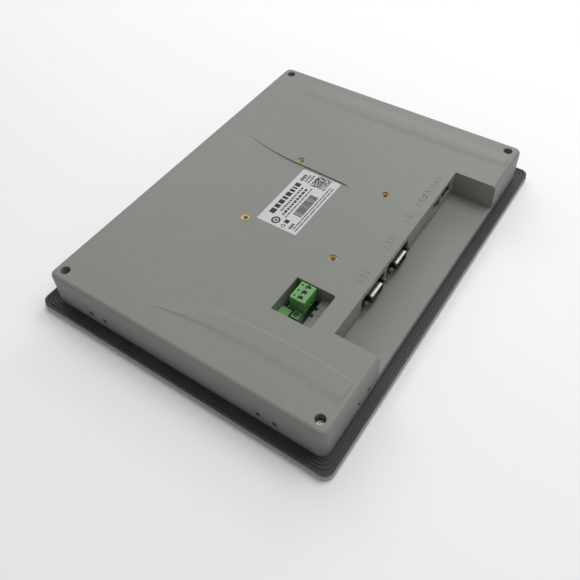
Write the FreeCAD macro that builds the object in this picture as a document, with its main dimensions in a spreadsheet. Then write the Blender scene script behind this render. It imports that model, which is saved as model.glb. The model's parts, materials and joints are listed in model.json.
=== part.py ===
import FreeCAD, Part
import math
import os

import Sketcher
from FreeCAD import Placement, Rotation, Vector

# A 12.1-inch operator panel, lying on its screen. Millimetres.
# X runs along the long side, Y points up as the panel hangs in a cabinet door, Z points out of its back.
# The origin is the middle of the front face.

SIZES = {
    # overall
    "panel_width": 317, "panel_height": 243, "panel_corner": 7, "total_depth": 34,
    # front frame
    "bezel_depth": 5.5, "bezel_lip": 1.4, "film_depth": 0.4, "film_margin": 4, "film_corner": 4,
    "film_thick": 0.3, "window_width": 249, "window_height": 188, "bezel_edge": 1.6,
    # sealing ring behind the front frame
    "gasket_thick": 1.8, "gasket_inset": 0.7, "gasket_gap": 0.3, "groove_wide": 0.9, "groove_deep": 0.6,
    "groove_pitch": 2.1,
    # rear housing
    "body_width": 298, "body_height": 226, "body_corner": 6, "draft": 1.8, "skin": 2.4, "roof": 2.3,
    "rear_round": 3,
    # connector bay at the lower edge
    "bay_left": -85, "bay_right": 94.5, "bay_wall": -79.5, "bay_gap": 0.4, "bay_skin": 1.8, "bay_round": 1.6,
    # power recess
    "recess_left": 14.88, "recess_right": 0.88, "power_top": -34.5, "power_bottom": -65, "lip_place": -54.5,
    "lip_level": 23, "shelf_level": 26.5, "recess_corner": 2, "skirt_level": 18, "skirt_skin": 1.6,
    "notch_wide": 2.6, "notch_deep": 2.4,
    # housing screws in their wells
    "corner_x": 139.6, "corner_y": 103.5, "well_bore": 7, "boss_bore": 11.5, "boss_level": 8.5, "seat_level": 26,
    "screw_bore": 3.4, "pilot_bore": 2.4, "screw_head": 5.6, "screw_shank": 2.9,
    # low raised bands on the rear face
    "band_rise_left": 0.48, "band_rise_right": 0.75, "band_low": -108,
    # threaded inserts for a standard 75 mm arm
    "arm_pitch": 75, "arm_x": 6, "arm_y": -8, "insert_bore": 5.8, "insert_long": 8, "insert_set": 0.6,
    "insert_thread": 3.4, "insert_boss": 9.6, "insert_mouth": 4.3, "insert_funnel": 0.5,
    # slots that the cabinet clamps hook into
    "clamp_wide": 3.2, "clamp_tall": 4.2, "clamp_level": 13.8, "clamp_pair": 12.4, "clamp_side": 70.6,
    "clamp_end": 103.6,
    # shallow field that the rating label lies in
    "field_drop": 1.0, "field_left": -40, "field_fade_left": -95, "field_low": -12.2, "field_fade_low": -20,
    "field_high": 35, "field_fade_high": 88, "label_wide": 63.5, "label_tall": 34, "label_x": 4.8, "label_y": 5.5,
    "label_thick": 0.15,
    # display stack
    "touch_wide": 264, "touch_tall": 202, "touch_thick": 1.7, "seal_wide": 5, "screen_wide": 261, "screen_tall": 203,
    "screen_level": 3.5, "screen_thick": 7.3, "screen_rim": 6, "cell_thick": 1.6, "tray_thick": 4.6,
    # inner frame and main board
    "plate_thick": 1.0, "plate_wide": 250, "plate_low": -75, "plate_high": 96, "board_thick": 1.6,
    "board_level": 14.6, "board_left": -112, "board_right": 112, "board_top": 62, "board_gap": 0.3,
    "standoff_bore": 5.5, "board_hole": 3.2,
    # serial ports
    "serial_a": -34.2, "serial_b": 0.8, "serial_level": 22.5, "flange_wide": 30.8, "flange_tall": 12.5,
    "flange_thick": 0.9, "shell_wide": 16.9, "shell_tall": 8.36, "shell_long": 6, "shell_skin": 0.5, "shell_round": 2.4,
    "jack_pitch": 24.99, "jack_flats": 4.75, "jack_long": 5.2, "jack_thread": 2.4, "port_gap": 0.4,
    # network, host, card, switch and reset openings
    "network_x": 63.2, "network_wide": 16, "network_tall": 13.6, "network_deep": 17, "network_mouth": 11.8,
    "network_mouth_tall": 8.4, "host_x": 78.6, "host_level": 26.2, "host_wide": 13.2, "host_tall": 5.8,
    "host_deep": 14, "card_x": 33.6, "card_wide": 24.4, "card_tall": 2.6, "card_deep": 24, "dip_x": 49.4,
    "dip_wide": 4.4, "dip_tall": 2.6, "reset_x": 53.7, "reset_bore": 1.8, "host_gap": 1.4,
    # power terminal
    "pole_pitch": 5.08, "plug_x": -67.5, "plug_low": -50.5, "plug_high": -38.9, "plug_level": 22.4, "plug_top": 33.5,
    "pole_y": -45.4, "well_wide": 4.2, "turn_head": 3.6, "turn_shank": 2.4, "cage_wide": 4.0, "cage_deep": 3.6,
    "cage_tall": 4.4, "cage_travel": 1.2, "cage_gap": 0.25, "entry_wide": 3.1, "entry_tall": 3.0, "header_top": 22.0,
}

doc = FreeCAD.newDocument("operator_panel")
sheet = doc.addObject("Spreadsheet::Sheet", "Sizes")
for row, (alias, value) in enumerate(SIZES.items(), start=1):
    sheet.set("A%d" % row, alias)
    sheet.set("B%d" % row, str(value))
    sheet.setAlias("B%d" % row, alias)
doc.recompute()


class Size:
    """A number together with the sheet expression that gives it."""

    def __init__(self, value, text):
        self.value = value
        self.text = text

    def __add__(self, other):
        other = as_size(other)
        return Size(self.value + other.value, "(%s + %s)" % (self.text, other.text))

    def __sub__(self, other):
        other = as_size(other)
        return Size(self.value - other.value, "(%s - %s)" % (self.text, other.text))

    def __mul__(self, other):
        other = as_size(other)
        return Size(self.value * other.value, "(%s * %s)" % (self.text, other.text))

    def __truediv__(self, other):
        other = as_size(other)
        return Size(self.value / other.value, "(%s / %s)" % (self.text, other.text))

    def __neg__(self):
        return as_size(0) - self

    def __radd__(self, other):
        return as_size(other) + self

    def __rsub__(self, other):
        return as_size(other) - self

    def __rmul__(self, other):
        return as_size(other) * self


def as_size(number):
    return number if isinstance(number, Size) else Size(float(number), "%.6f" % number)


def size(alias):
    return Size(float(SIZES[alias]), "Sizes." + alias)


class Sheet:
    """Gives each named size as an attribute."""

    def __getattr__(self, alias):
        return size(alias)


S = Sheet()
parts = {}


def keep(piece, name):
    """Files a finished sub-part under its own label."""
    piece.Label = name
    parts[name] = piece
    return piece


def bind(piece, **sizes):
    """Binds properties of a document object to the sheet; two underscores stand for a dot."""
    for path, value in sizes.items():
        piece.setExpression(path.replace("__", "."), as_size(value).text)


# ---------------------------------------------------------------- primitives and booleans

def box(name, x, y, z):
    """A block between the pairs x, y and z."""
    block = doc.addObject("Part::Box", name)
    bind(block, Length=x[1] - x[0], Width=y[1] - y[0], Height=z[1] - z[0],
         Placement__Base__x=x[0], Placement__Base__y=y[0], Placement__Base__z=z[0])
    return block


def block_at(name, x, y, z, wide, deep, tall):
    """A block with its middle at x and y, standing on z."""
    return box(name, (x - wide / 2, x + wide / 2), (y - deep / 2, y + deep / 2), (z, z + tall))


def rod(name, x, y, z, bore, long, facing="up"):
    """A round bar of that diameter, from x, y, z upwards, or towards -Y for one that faces the bay."""
    bar = doc.addObject("Part::Cylinder", name)
    turn = Rotation() if facing == "up" else Rotation(Vector(1, 0, 0), 90)
    bar.Placement = Placement(Vector(), turn)
    bind(bar, Radius=as_size(bore) / 2, Height=long, Placement__Base__x=x, Placement__Base__y=y,
         Placement__Base__z=z)
    return bar


def funnel(name, x, y, z, low_bore, high_bore, long):
    """A round bar that widens from its lower diameter at x, y, z to its upper one."""
    bar = doc.addObject("Part::Cone", name)
    bind(bar, Radius1=as_size(low_bore) / 2, Radius2=as_size(high_bore) / 2, Height=long, Placement__Base__x=x,
         Placement__Base__y=y, Placement__Base__z=z)
    return bar


def hexagon(name, x, y, z, flats, long):
    """A hexagonal bar that runs from x, y, z towards -Y."""
    bar = doc.addObject("Part::Prism", name)
    bar.Polygon = 6
    bar.Placement = Placement(Vector(), Rotation(Vector(1, 0, 0), 90))
    bind(bar, Circumradius=as_size(flats) / math.sqrt(3), Height=long, Placement__Base__x=x,
         Placement__Base__y=y, Placement__Base__z=z)
    return bar


def fuse(name, pieces):
    if len(pieces) == 1:
        return pieces[0]
    joined = doc.addObject("Part::MultiFuse", name)
    joined.Shapes = pieces
    return joined


def cut(name, base, tools):
    rest = doc.addObject("Part::Cut", name)
    rest.Base = base
    rest.Tool = fuse(name + "_tools", tools)
    return rest


def group(name, pieces):
    """Identical or matching pieces that stay separate solids in one node."""
    gathered = doc.addObject("Part::Compound", name)
    gathered.Links = pieces
    return keep(gathered, name)


# ---------------------------------------------------------------- sketched bodies

def new_body(name):
    return doc.addObject("PartDesign::Body", name)


def plane(body, role):
    return [feature for feature in body.Origin.OriginFeatures if feature.Role == role][0]


def new_sketch(body, name, role, shift):
    """A sketch on one of the body's own planes, moved along that plane's normal."""
    sketch = body.newObject("Sketcher::SketchObject", name)
    sketch.AttachmentSupport = [(plane(body, role), "")]
    sketch.MapMode = "FlatFace"
    bind(sketch, AttachmentOffset__Base__z=shift)
    return sketch


def pin(sketch, geometry, end, x, y):
    """Holds one point of a sketch at x, y from the sketch's origin."""
    for kind, value in (("DistanceX", as_size(x)), ("DistanceY", as_size(y))):
        number = sketch.addConstraint(Sketcher.Constraint(kind, -1, 1, geometry, end, value.value))
        sketch.setExpression("Constraints[%d]" % number, value.text)


def towards(a, b):
    """The unit step along an axis from corner a to corner b."""
    dx = as_size(b[0]).value - as_size(a[0]).value
    dy = as_size(b[1]).value - as_size(a[1]).value
    reach = math.hypot(dx, dy)
    return dx / reach, dy / reach


def outline(sketch, corners):
    """A closed outline. A corner with a third value is a right angle rounded by that radius."""
    ends = []
    for i, corner in enumerate(corners):
        x, y = as_size(corner[0]), as_size(corner[1])
        if len(corner) == 2:
            ends.append(((x, y), (x, y), None))
            continue
        before = towards(corners[i - 1], corner)
        after = towards(corner, corners[(i + 1) % len(corners)])
        radius = as_size(corner[2])
        start = (x - round(before[0]) * radius, y - round(before[1]) * radius)
        stop = (x + round(after[0]) * radius, y + round(after[1]) * radius)
        ends.append((start, stop, radius))
    lines = []
    for i, (_, begin, _) in enumerate(ends):
        finish = ends[(i + 1) % len(ends)][0]
        segment = Part.LineSegment(Vector(begin[0].value, begin[1].value, 0),
                                   Vector(finish[0].value, finish[1].value, 0))
        lines.append(sketch.addGeometry(segment, False))
        pin(sketch, lines[-1], 1, *begin)
    for i, (start, stop, radius) in enumerate(ends):
        arriving, leaving = lines[i - 1], lines[i]
        if radius is None:
            sketch.addConstraint(Sketcher.Constraint("Coincident", arriving, 2, leaving, 1))
            continue
        pin(sketch, arriving, 2, *start)
        add_corner_arc(sketch, arriving, leaving, start, stop, as_size(corners[i][0]), as_size(corners[i][1]), radius)


def add_corner_arc(sketch, arriving, leaving, start, stop, x, y, radius):
    """A quarter arc from one line's end to the next line's start."""
    centre = Vector(start[0].value + stop[0].value - x.value, start[1].value + stop[1].value - y.value, 0)
    first = math.atan2(start[1].value - centre.y, start[0].value - centre.x)
    last = math.atan2(stop[1].value - centre.y, stop[0].value - centre.x)
    ccw = math.sin(last - first) > 0
    circle = Part.Circle(centre, Vector(0, 0, 1), radius.value)
    arc = sketch.addGeometry(Part.ArcOfCircle(circle, *((first, last) if ccw else (last, first))), False)
    sketch.addConstraint(Sketcher.Constraint("Coincident", arriving, 2, arc, 1 if ccw else 2))
    sketch.addConstraint(Sketcher.Constraint("Coincident", leaving, 1, arc, 2 if ccw else 1))
    number = sketch.addConstraint(Sketcher.Constraint("Radius", arc, radius.value))
    sketch.setExpression("Constraints[%d]" % number, radius.text)


def rectangle(sketch, x, y, radius=None):
    """An upright rectangle between the pairs x and y, sharp or with one corner radius."""
    corners = [(x[0], y[0]), (x[1], y[0]), (x[1], y[1]), (x[0], y[1])]
    outline(sketch, [corner + (radius,) if radius is not None else corner for corner in corners])


def centred(sketch, wide, tall, radius=None):
    rectangle(sketch, (-wide / 2, wide / 2), (-tall / 2, tall / 2), radius)


def circle(sketch, x, y, bore):
    radius = as_size(bore) / 2
    ring = sketch.addGeometry(Part.Circle(Vector(as_size(x).value, as_size(y).value, 0), Vector(0, 0, 1),
                                          radius.value), False)
    pin(sketch, ring, 3, x, y)
    number = sketch.addConstraint(Sketcher.Constraint("Radius", ring, radius.value))
    sketch.setExpression("Constraints[%d]" % number, radius.text)


def volume_after(body):
    doc.recompute()
    return body.Shape.Volume


def pad(body, sketch, long, reverse=False, draft=None):
    """Adds the sketch's outline along its plane's normal."""
    feature = body.newObject("PartDesign::Pad", sketch.Name + "_pad")
    feature.Profile = sketch
    feature.Reversed = reverse
    bind(feature, Length=long)
    if draft is not None:
        bind(feature, TaperAngle=draft)
    volume_after(body)
    return feature


def pocket(body, sketch, deep, reverse=False):
    """Cuts the sketch's outline against its plane's normal, or along it when reversed."""
    before = volume_after(body)
    feature = body.newObject("PartDesign::Pocket", sketch.Name + "_cut")
    feature.Profile = sketch
    feature.Reversed = reverse
    bind(feature, Length=deep)
    after = volume_after(body)
    if after >= before - 1e-6:
        raise ValueError("%s removes nothing" % sketch.Name)
    return feature


def rounded(body, name, radius, wanted, kind="PartDesign::Fillet"):
    """Rounds, or chamfers, the edges of the body's shape that the test picks."""
    tip = body.Tip
    names = ["Edge%d" % (i + 1) for i, edge in enumerate(tip.Shape.Edges) if wanted(edge)]
    if not names:
        raise ValueError("%s finds no edge" % name)
    feature = body.newObject(kind, name)
    feature.Base = (tip, names)
    if kind == "PartDesign::Fillet":
        bind(feature, Radius=radius)
    else:
        bind(feature, Size=radius)
    doc.recompute()
    return feature


def level_of(edge):
    """The lowest and highest z of an edge."""
    bounds = edge.BoundBox
    return bounds.ZMin, bounds.ZMax


def corner_places():
    return [(x, y) for x in (-S.corner_x, S.corner_x) for y in (-S.corner_y, S.corner_y)]


def arm_places():
    half = S.arm_pitch / 2
    return [(S.arm_x + sx * half, S.arm_y + sy * half) for sx in (-1, 1) for sy in (-1, 1)]


# ---------------------------------------------------------------- front frame, film and seal

def make_front_bezel():
    """The moulded front frame: a window, a seat for the touch panel and four screw posts."""
    body = new_body("front_bezel_body")
    sketch = new_sketch(body, "bezel_outline", "XY_Plane", 0)
    centred(sketch, S.panel_width, S.panel_height, S.panel_corner)
    pad(body, sketch, S.bezel_depth)
    rounded(body, "bezel_edge_round", S.bezel_edge, lambda edge: level_of(edge)[0] == level_of(edge)[1])
    sketch = new_sketch(body, "film_seat", "XY_Plane", 0)
    centred(sketch, S.panel_width - 2 * S.film_margin, S.panel_height - 2 * S.film_margin, S.film_corner)
    pocket(body, sketch, S.film_depth, reverse=True)
    sketch = new_sketch(body, "window", "XY_Plane", 0)
    centred(sketch, S.window_width, S.window_height)
    pocket(body, sketch, S.bezel_depth, reverse=True)
    sketch = new_sketch(body, "touch_seat", "XY_Plane", S.bezel_depth)
    centred(sketch, S.touch_wide + 2 * S.board_gap, S.screen_tall + 2 * S.board_gap)
    pocket(body, sketch, S.bezel_depth - S.bezel_lip)
    sketch = new_sketch(body, "bezel_posts", "XY_Plane", S.bezel_depth)
    for x, y in corner_places():
        circle(sketch, x, y, S.boss_bore - 1)
    pad(body, sketch, S.boss_level - S.bezel_depth)
    sketch = new_sketch(body, "pilot_holes", "XY_Plane", S.boss_level)
    for x, y in corner_places():
        circle(sketch, x, y, S.pilot_bore)
    pocket(body, sketch, S.boss_level - S.bezel_lip)
    sketch = new_sketch(body, "lamp_holes", "XY_Plane", S.bezel_depth)
    for x in lamp_places():
        circle(sketch, x, lamp_height(), lamp_bore)
    pocket(body, sketch, S.bezel_depth)
    keep(body, "front_bezel")


lamp_bore = 2.6
lamp_step = 9


def lamp_places():
    return [S.window_width / 2 - lamp_step * count for count in (1, 2, 3)]


def lamp_height():
    return -(S.panel_height / 2 - S.film_margin - 9)


def make_front_film():
    """The printed film round the screen and the three small lamp lenses under it."""
    body = new_body("front_film_body")
    sketch = new_sketch(body, "film_outline", "XY_Plane", S.film_depth - S.film_thick)
    gap = S.board_gap / 2
    centred(sketch, S.panel_width - 2 * S.film_margin - gap, S.panel_height - 2 * S.film_margin - gap, S.film_corner)
    centred(sketch, S.window_width, S.window_height)
    pad(body, sketch, S.film_thick)
    keep(body, "front_film")
    lenses = [rod("lens_%d" % i, x, lamp_height(), S.film_depth, lamp_bore - 0.1, S.bezel_depth - S.film_depth)
              for i, x in enumerate(lamp_places())]
    group("lamp_lenses", lenses)


def make_gasket():
    """The rubber ring that seals the cabinet cut-out, with lengthwise ribs."""
    body = new_body("gasket_body")
    wide, tall = S.panel_width - 2 * S.gasket_inset, S.panel_height - 2 * S.gasket_inset
    corner = S.panel_corner - S.gasket_inset
    sketch = new_sketch(body, "gasket_outline", "XY_Plane", S.bezel_depth)
    centred(sketch, wide, tall, corner)
    centred(sketch, S.body_width + 2 * S.gasket_gap, S.body_height + 2 * S.gasket_gap, S.body_corner)
    pad(body, sketch, S.gasket_thick)
    for count in (1, 2, 3):
        inset = S.groove_pitch * count - S.groove_wide / 2
        sketch = new_sketch(body, "groove_%d" % count, "XY_Plane", S.bezel_depth + S.gasket_thick)
        centred(sketch, wide - 2 * inset, tall - 2 * inset, corner)
        inset = inset + S.groove_wide
        centred(sketch, wide - 2 * inset, tall - 2 * inset, corner)
        pocket(body, sketch, S.groove_deep)
    keep(body, "panel_gasket")


# ---------------------------------------------------------------- rear housing

def make_rear_shell():
    """The outside of the rear housing: drafted walls, rounded edges and the bay."""
    body = new_body("rear_housing_body")
    deep = S.total_depth - S.bezel_depth
    sketch = new_sketch(body, "housing_outline", "XY_Plane", S.bezel_depth)
    centred(sketch, S.body_width, S.body_height, S.body_corner)
    pad(body, sketch, deep, draft=-S.draft)
    top = S.total_depth.value - 0.01
    reach_x, reach_y = S.body_width.value / 2 - 3, S.body_height.value / 2 - 3

    def on_rear_rim(edge):
        middle = edge.CenterOfMass
        outer = abs(middle.x) > reach_x or abs(middle.y) > reach_y
        return level_of(edge)[0] > top and outer

    rounded(body, "rear_round_edges", S.rear_round, on_rear_rim)
    sketch = new_sketch(body, "bay", "XY_Plane", S.total_depth + 1)
    rectangle(sketch, (S.bay_left, S.bay_right), (-S.body_height / 2 - 5, S.bay_wall))
    pocket(body, sketch, S.total_depth + 1 - bay_floor())
    front = -S.body_height.value / 2 + 2

    def on_bay_edge(edge):
        middle = edge.CenterOfMass
        low_z, high_z = level_of(edge)
        along_floor = abs(high_z - bay_floor().value) < 0.01 and abs(low_z - bay_floor().value) < 0.01
        return middle.y < front and along_floor and edge.Length > 50

    rounded(body, "bay_round_edge", S.bay_round, on_bay_edge)
    return body


def hollow_rear_shell(body):
    """The inside of the housing: a shallow room under the bay, a deep one elsewhere, and the recess skirt."""
    wide, tall = S.body_width / 2 - S.skin, S.body_height / 2 - S.skin
    corner = S.body_corner - S.skin
    sketch = new_sketch(body, "low_room", "XY_Plane", S.bezel_depth)
    rectangle(sketch, (-wide, wide), (-tall, tall), corner)
    pocket(body, sketch, bay_floor() - S.bay_skin - S.bezel_depth, reverse=True)
    left, right, wall = S.bay_left - S.skin, S.bay_right + S.skin, S.bay_wall + S.skin
    sketch = new_sketch(body, "deep_room", "XY_Plane", S.bezel_depth)
    outline(sketch, [(-wide, -tall, corner), (left, -tall), (left, wall), (right, wall), (right, -tall),
                     (wide, -tall, corner), (wide, tall, corner), (-wide, tall, corner)])
    rectangle(sketch, skirt_x(), skirt_y())
    pocket(body, sketch, S.total_depth - S.roof - S.bezel_depth, reverse=True)
    sketch = new_sketch(body, "skirt_trim", "XY_Plane", S.bezel_depth)
    rectangle(sketch, (skirt_x()[0] - 1, skirt_x()[1] + 1), (skirt_y()[0] - 1, skirt_y()[1] + 1))
    pocket(body, sketch, S.skirt_level - S.bezel_depth, reverse=True)


def bay_floor():
    """The bay's floor lies over the screen, with a gap and the floor's own thickness between them."""
    return S.screen_level + S.screen_thick + S.bay_gap + S.bay_skin


def power_left():
    return S.plug_x - S.pole_pitch * 1.5 - S.recess_left


def power_right():
    return S.plug_x + S.pole_pitch * 1.5 + S.recess_right


def skirt_x():
    return power_left() - S.skirt_skin, power_right() + S.skirt_skin


def skirt_y():
    return S.power_bottom - S.skirt_skin, S.power_top + S.skirt_skin


def cut_power_recess(body):
    """The open well over the power terminal, and the ramp that its wires leave along."""
    sketch = new_sketch(body, "power_well", "XY_Plane", S.total_depth + 1)
    rectangle(sketch, (power_left(), power_right()), (S.lip_place, S.power_top))
    pocket(body, sketch, S.total_depth + 1 - S.bezel_depth)
    sketch = new_sketch(body, "wire_ramp", "YZ_Plane", power_right())
    outline(sketch, [(S.lip_place + 1, S.lip_level), (S.lip_place, S.lip_level), (S.power_bottom, S.shelf_level),
                     (S.power_bottom, S.total_depth + 1), (S.lip_place + 1, S.total_depth + 1)])
    pocket(body, sketch, power_right() - power_left())
    far_side = S.power_bottom.value

    def on_recess_corner(edge):
        low_z, high_z = level_of(edge)
        middle = edge.CenterOfMass
        return (high_z - low_z > 5 and abs(middle.y - far_side) < 0.01
                and power_left().value - 0.1 < middle.x < power_right().value + 0.1)

    rounded(body, "recess_corner_round", S.recess_corner, on_recess_corner)
    sketch = new_sketch(body, "lip_notches", "XY_Plane", S.total_depth + 1)
    for count in (0.5, 1.5):
        middle = S.plug_x + S.pole_pitch * (0.5 - count * 1.25)
        rectangle(sketch, (middle - S.notch_wide / 2, middle + S.notch_wide / 2),
                  (S.lip_place - S.notch_deep, S.lip_place + 1))
    pocket(body, sketch, S.total_depth + 1 - S.bezel_depth)


def add_housing_bosses(body):
    """Posts for the corner screws and round bosses for the arm inserts, then their holes."""
    ceiling = S.total_depth - S.roof + 0.5
    sketch = new_sketch(body, "corner_bosses", "XY_Plane", S.boss_level)
    for x, y in corner_places():
        circle(sketch, x, y, S.boss_bore)
    pad(body, sketch, ceiling - S.boss_level)
    insert_floor = S.total_depth - S.insert_set - S.insert_long
    sketch = new_sketch(body, "insert_bosses", "XY_Plane", insert_floor - 1.5)
    for x, y in arm_places():
        circle(sketch, x, y, S.insert_boss)
    pad(body, sketch, ceiling - insert_floor + 1.5)
    for name, places, bore, floor in (("screw_wells", corner_places(), S.well_bore, S.seat_level),
                                      ("screw_holes", corner_places(), S.screw_bore, S.bezel_depth),
                                      ("insert_holes", arm_places(), S.insert_bore, insert_floor)):
        sketch = new_sketch(body, name, "XY_Plane", S.total_depth + 1)
        for x, y in places:
            circle(sketch, x, y, bore)
        pocket(body, sketch, S.total_depth + 1 - floor)


def cut_clamp_slots(body):
    """Pairs of small slots low in all four walls for the cabinet clamps."""
    half_wide, half_tall = S.clamp_wide / 2, S.clamp_tall / 2
    deep = S.skin + 3
    for role, name, along, reach in (("YZ_Plane", "side", S.clamp_side, S.body_width / 2 + 1),
                                     ("XZ_Plane", "end", S.clamp_end, S.body_height / 2 + 1)):
        for side in (-1, 1):
            sketch = new_sketch(body, "%s_slots_%s" % (name, "low" if side < 0 else "high"), role, side * reach)
            for place in (-1, 1):
                for shift in (-0.5, 0.5):
                    middle = place * along + shift * S.clamp_pair
                    rectangle(sketch, (middle - half_wide, middle + half_wide),
                              (S.clamp_level - half_tall, S.clamp_level + half_tall))
            pocket(body, sketch, deep, reverse=side < 0)


def cut_port_openings(body):
    """The openings in the bay's upright wall for the ports."""
    sketch = new_sketch(body, "port_openings", "XZ_Plane", -S.bay_wall + 1)
    gap = S.port_gap
    base = S.board_level + S.board_thick
    for x in (S.serial_a, S.serial_b):
        rectangle(sketch, (x - S.flange_wide / 2 - gap, x + S.flange_wide / 2 + gap),
                  (S.serial_level - S.flange_tall / 2 - gap / 2, S.serial_level + S.flange_tall / 2 + gap), 1.5)
    rectangle(sketch, (S.network_x - S.network_mouth / 2 - gap, S.network_x + S.network_mouth / 2 + gap),
              (mouth_level() - gap, mouth_level() + S.network_mouth_tall + gap))
    rectangle(sketch, (S.host_x - S.host_wide / 2 - S.host_gap, S.host_x + S.host_wide / 2 + S.host_gap),
              (S.host_level - S.host_tall / 2 - S.host_gap, S.host_level + S.host_tall / 2 + S.host_gap))
    rectangle(sketch, (S.card_x - S.card_wide / 2 - gap, S.card_x + S.card_wide / 2 + gap),
              (base - 0.1, base + S.card_tall + 0.3))
    rectangle(sketch, (S.dip_x - S.dip_wide / 2, S.dip_x + S.dip_wide / 2), (base, base + S.dip_tall))
    circle(sketch, S.reset_x, base + 1.5, S.reset_bore + 2 * gap)
    pocket(body, sketch, S.skin + 2)


def mouth_level():
    return S.board_level + S.board_thick + 4.2


def make_label_field():
    """The tool for the shallow field under the label: it fades out except along its curved right side."""
    top, low = S.total_depth, S.total_depth - S.field_drop
    body = new_body("field_slope_x")
    sketch = new_sketch(body, "field_profile_x", "XZ_Plane", S.body_height / 2)
    outline(sketch, [(S.field_fade_left, top), (S.field_left, low), (S.field_left + 200, low),
                     (S.field_left + 200, top + 1), (S.field_fade_left, top + 1)])
    pad(body, sketch, S.body_height, reverse=True)
    other = new_body("field_slope_y")
    sketch = new_sketch(other, "field_profile_y", "YZ_Plane", -S.body_width / 2)
    outline(sketch, [(S.field_fade_low, top), (S.field_low, low), (S.field_high, low), (S.field_fade_high, top),
                     (S.field_fade_high, top + 1), (S.field_fade_low, top + 1)])
    pad(other, sketch, S.body_width)
    edge_x = S.label_x.value + S.label_wide.value / 2
    left, floor = -S.body_width.value / 2, low.value - 1
    points = [Vector(edge_x + 13, S.field_fade_high.value + 2, floor), Vector(edge_x + 5, 56, floor),
              Vector(edge_x + 2.6, 24, floor), Vector(edge_x + 1.9, 4, floor), Vector(edge_x + 1.2, -13, floor),
              Vector(edge_x - 0.6, -18, floor), Vector(edge_x - 4, S.field_fade_low.value - 1, floor)]
    wire = Part.Wire([Part.Arc(points[0], points[1], points[2]).toShape(),
                      Part.Arc(points[2], points[3], points[4]).toShape(),
                      Part.Arc(points[4], points[5], points[6]).toShape(),
                      Part.makeLine(points[6], Vector(left, points[6].y, floor)),
                      Part.makeLine(Vector(left, points[6].y, floor), Vector(left, points[0].y, floor)),
                      Part.makeLine(Vector(left, points[0].y, floor), points[0])])
    region = doc.addObject("Part::Feature", "field_region")
    region.Shape = Part.Face(wire).extrude(Vector(0, 0, S.field_drop.value + 3))
    field = doc.addObject("Part::MultiCommon", "label_field")
    field.Shapes = [body, other, region]
    return field


# each raised band: its inner and outer arc as three points from the upper end down, then the widths of its inner,
# outer, upper and lower slopes; the arcs end at the band's lower end
BANDS = {
    "left": ([(-110.5, 15), (-106, -45), (-107.5, None)], [(-131, 38), (-125.2, -50), (-127.5, None)],
             (2.2, 5.5, 26, 0.8)),
    "right": ([(119, 88), (116.5, 8), (118, None)], [(136.5, 88), (138.5, 8), (135, None)], (6, 10, 20, 0.8)),
}
BAND_ROOT = 0.05


def make_band(tag, rise):
    """A low raised band between two arcs on the rear face; it ends in a long slope at its upper end."""
    inner, outer, slopes = BANDS[tag]
    inner, outer = [[(x, S.band_low.value if y is None else y) for x, y in arc] for arc in (inner, outer)]
    root, top = S.total_depth - BAND_ROOT, S.total_depth + rise

    def ring(inside, outside, level):
        a, b = [[Vector(x, y, level.value) for x, y in arc] for arc in (inside, outside)]
        return Part.Wire([Part.Arc(*a).toShape(), Part.makeLine(a[2], b[2]), Part.Arc(b[2], b[1], b[0]).toShape(),
                          Part.makeLine(b[0], a[0])])

    side = 1 if outer[1][0] > inner[1][0] else -1
    in_slope, out_slope, high_slope, low_slope = slopes
    drops = (-high_slope, 0, low_slope)
    crest_in = [(x + side * in_slope, y + drop) for (x, y), drop in zip(inner, drops)]
    crest_out = [(x - side * out_slope, y + drop) for (x, y), drop in zip(outer, drops)]
    band = doc.addObject("Part::Feature", "raised_band_" + tag)
    band.Shape = Part.makeLoft([ring(inner, outer, root), ring(crest_in, crest_out, top)], True, True)
    return band


def make_rear_housing():
    body = make_rear_shell()
    hollow_rear_shell(body)
    cut_power_recess(body)
    add_housing_bosses(body)
    cut_clamp_slots(body)
    cut_port_openings(body)
    housing = cut("rear_housing_cut", body, [make_label_field()])
    bands = [make_band("left", S.band_rise_left), make_band("right", S.band_rise_right)]
    keep(fuse("rear_housing_banded", [housing] + bands), "rear_housing")


def make_label():
    low = S.total_depth - S.field_drop
    plate = block_at("label_plate", S.label_x, S.label_y, low, S.label_wide, S.label_tall, S.label_thick)
    keep(plate, "rating_label")


# ---------------------------------------------------------------- fasteners in the housing

def make_housing_screws():
    """Pan-head screws with a cross recess, one at the bottom of each corner well."""
    screws = []
    for i, (x, y) in enumerate(corner_places()):
        head = rod("corner_head_%d" % i, x, y, S.seat_level, S.screw_head, 2.0)
        shank = rod("corner_shank_%d" % i, x, y, S.boss_level, S.screw_shank, S.seat_level - S.boss_level)
        tail = rod("corner_tail_%d" % i, x, y, S.boss_level - 5, S.pilot_bore, 5)
        slots = [block_at("cross_a_%d" % i, x, y, S.seat_level + 0.9, 3.0, 0.8, 2),
                 block_at("cross_b_%d" % i, x, y, S.seat_level + 0.9, 0.8, 3.0, 2)]
        screws.append(cut("corner_screw_%d" % i, fuse("corner_blank_%d" % i, [head, shank, tail]), slots))
    group("housing_screws", screws)


def make_arm_inserts():
    """Threaded brass inserts, a 75 mm square."""
    top = S.total_depth - S.insert_set
    inserts = []
    for i, (x, y) in enumerate(arm_places()):
        sleeve = rod("insert_sleeve_%d" % i, x, y, top - S.insert_long, S.insert_bore, S.insert_long)
        thread = rod("insert_thread_%d" % i, x, y, top - S.insert_long + 0.5, S.insert_thread, S.insert_long)
        mouth = funnel("insert_mouth_%d" % i, x, y, top - S.insert_funnel, S.insert_thread, S.insert_mouth,
                       S.insert_funnel)
        inserts.append(cut("insert_%d" % i, sleeve, [thread, mouth]))
    group("arm_inserts", inserts)


# ---------------------------------------------------------------- display stack

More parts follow.
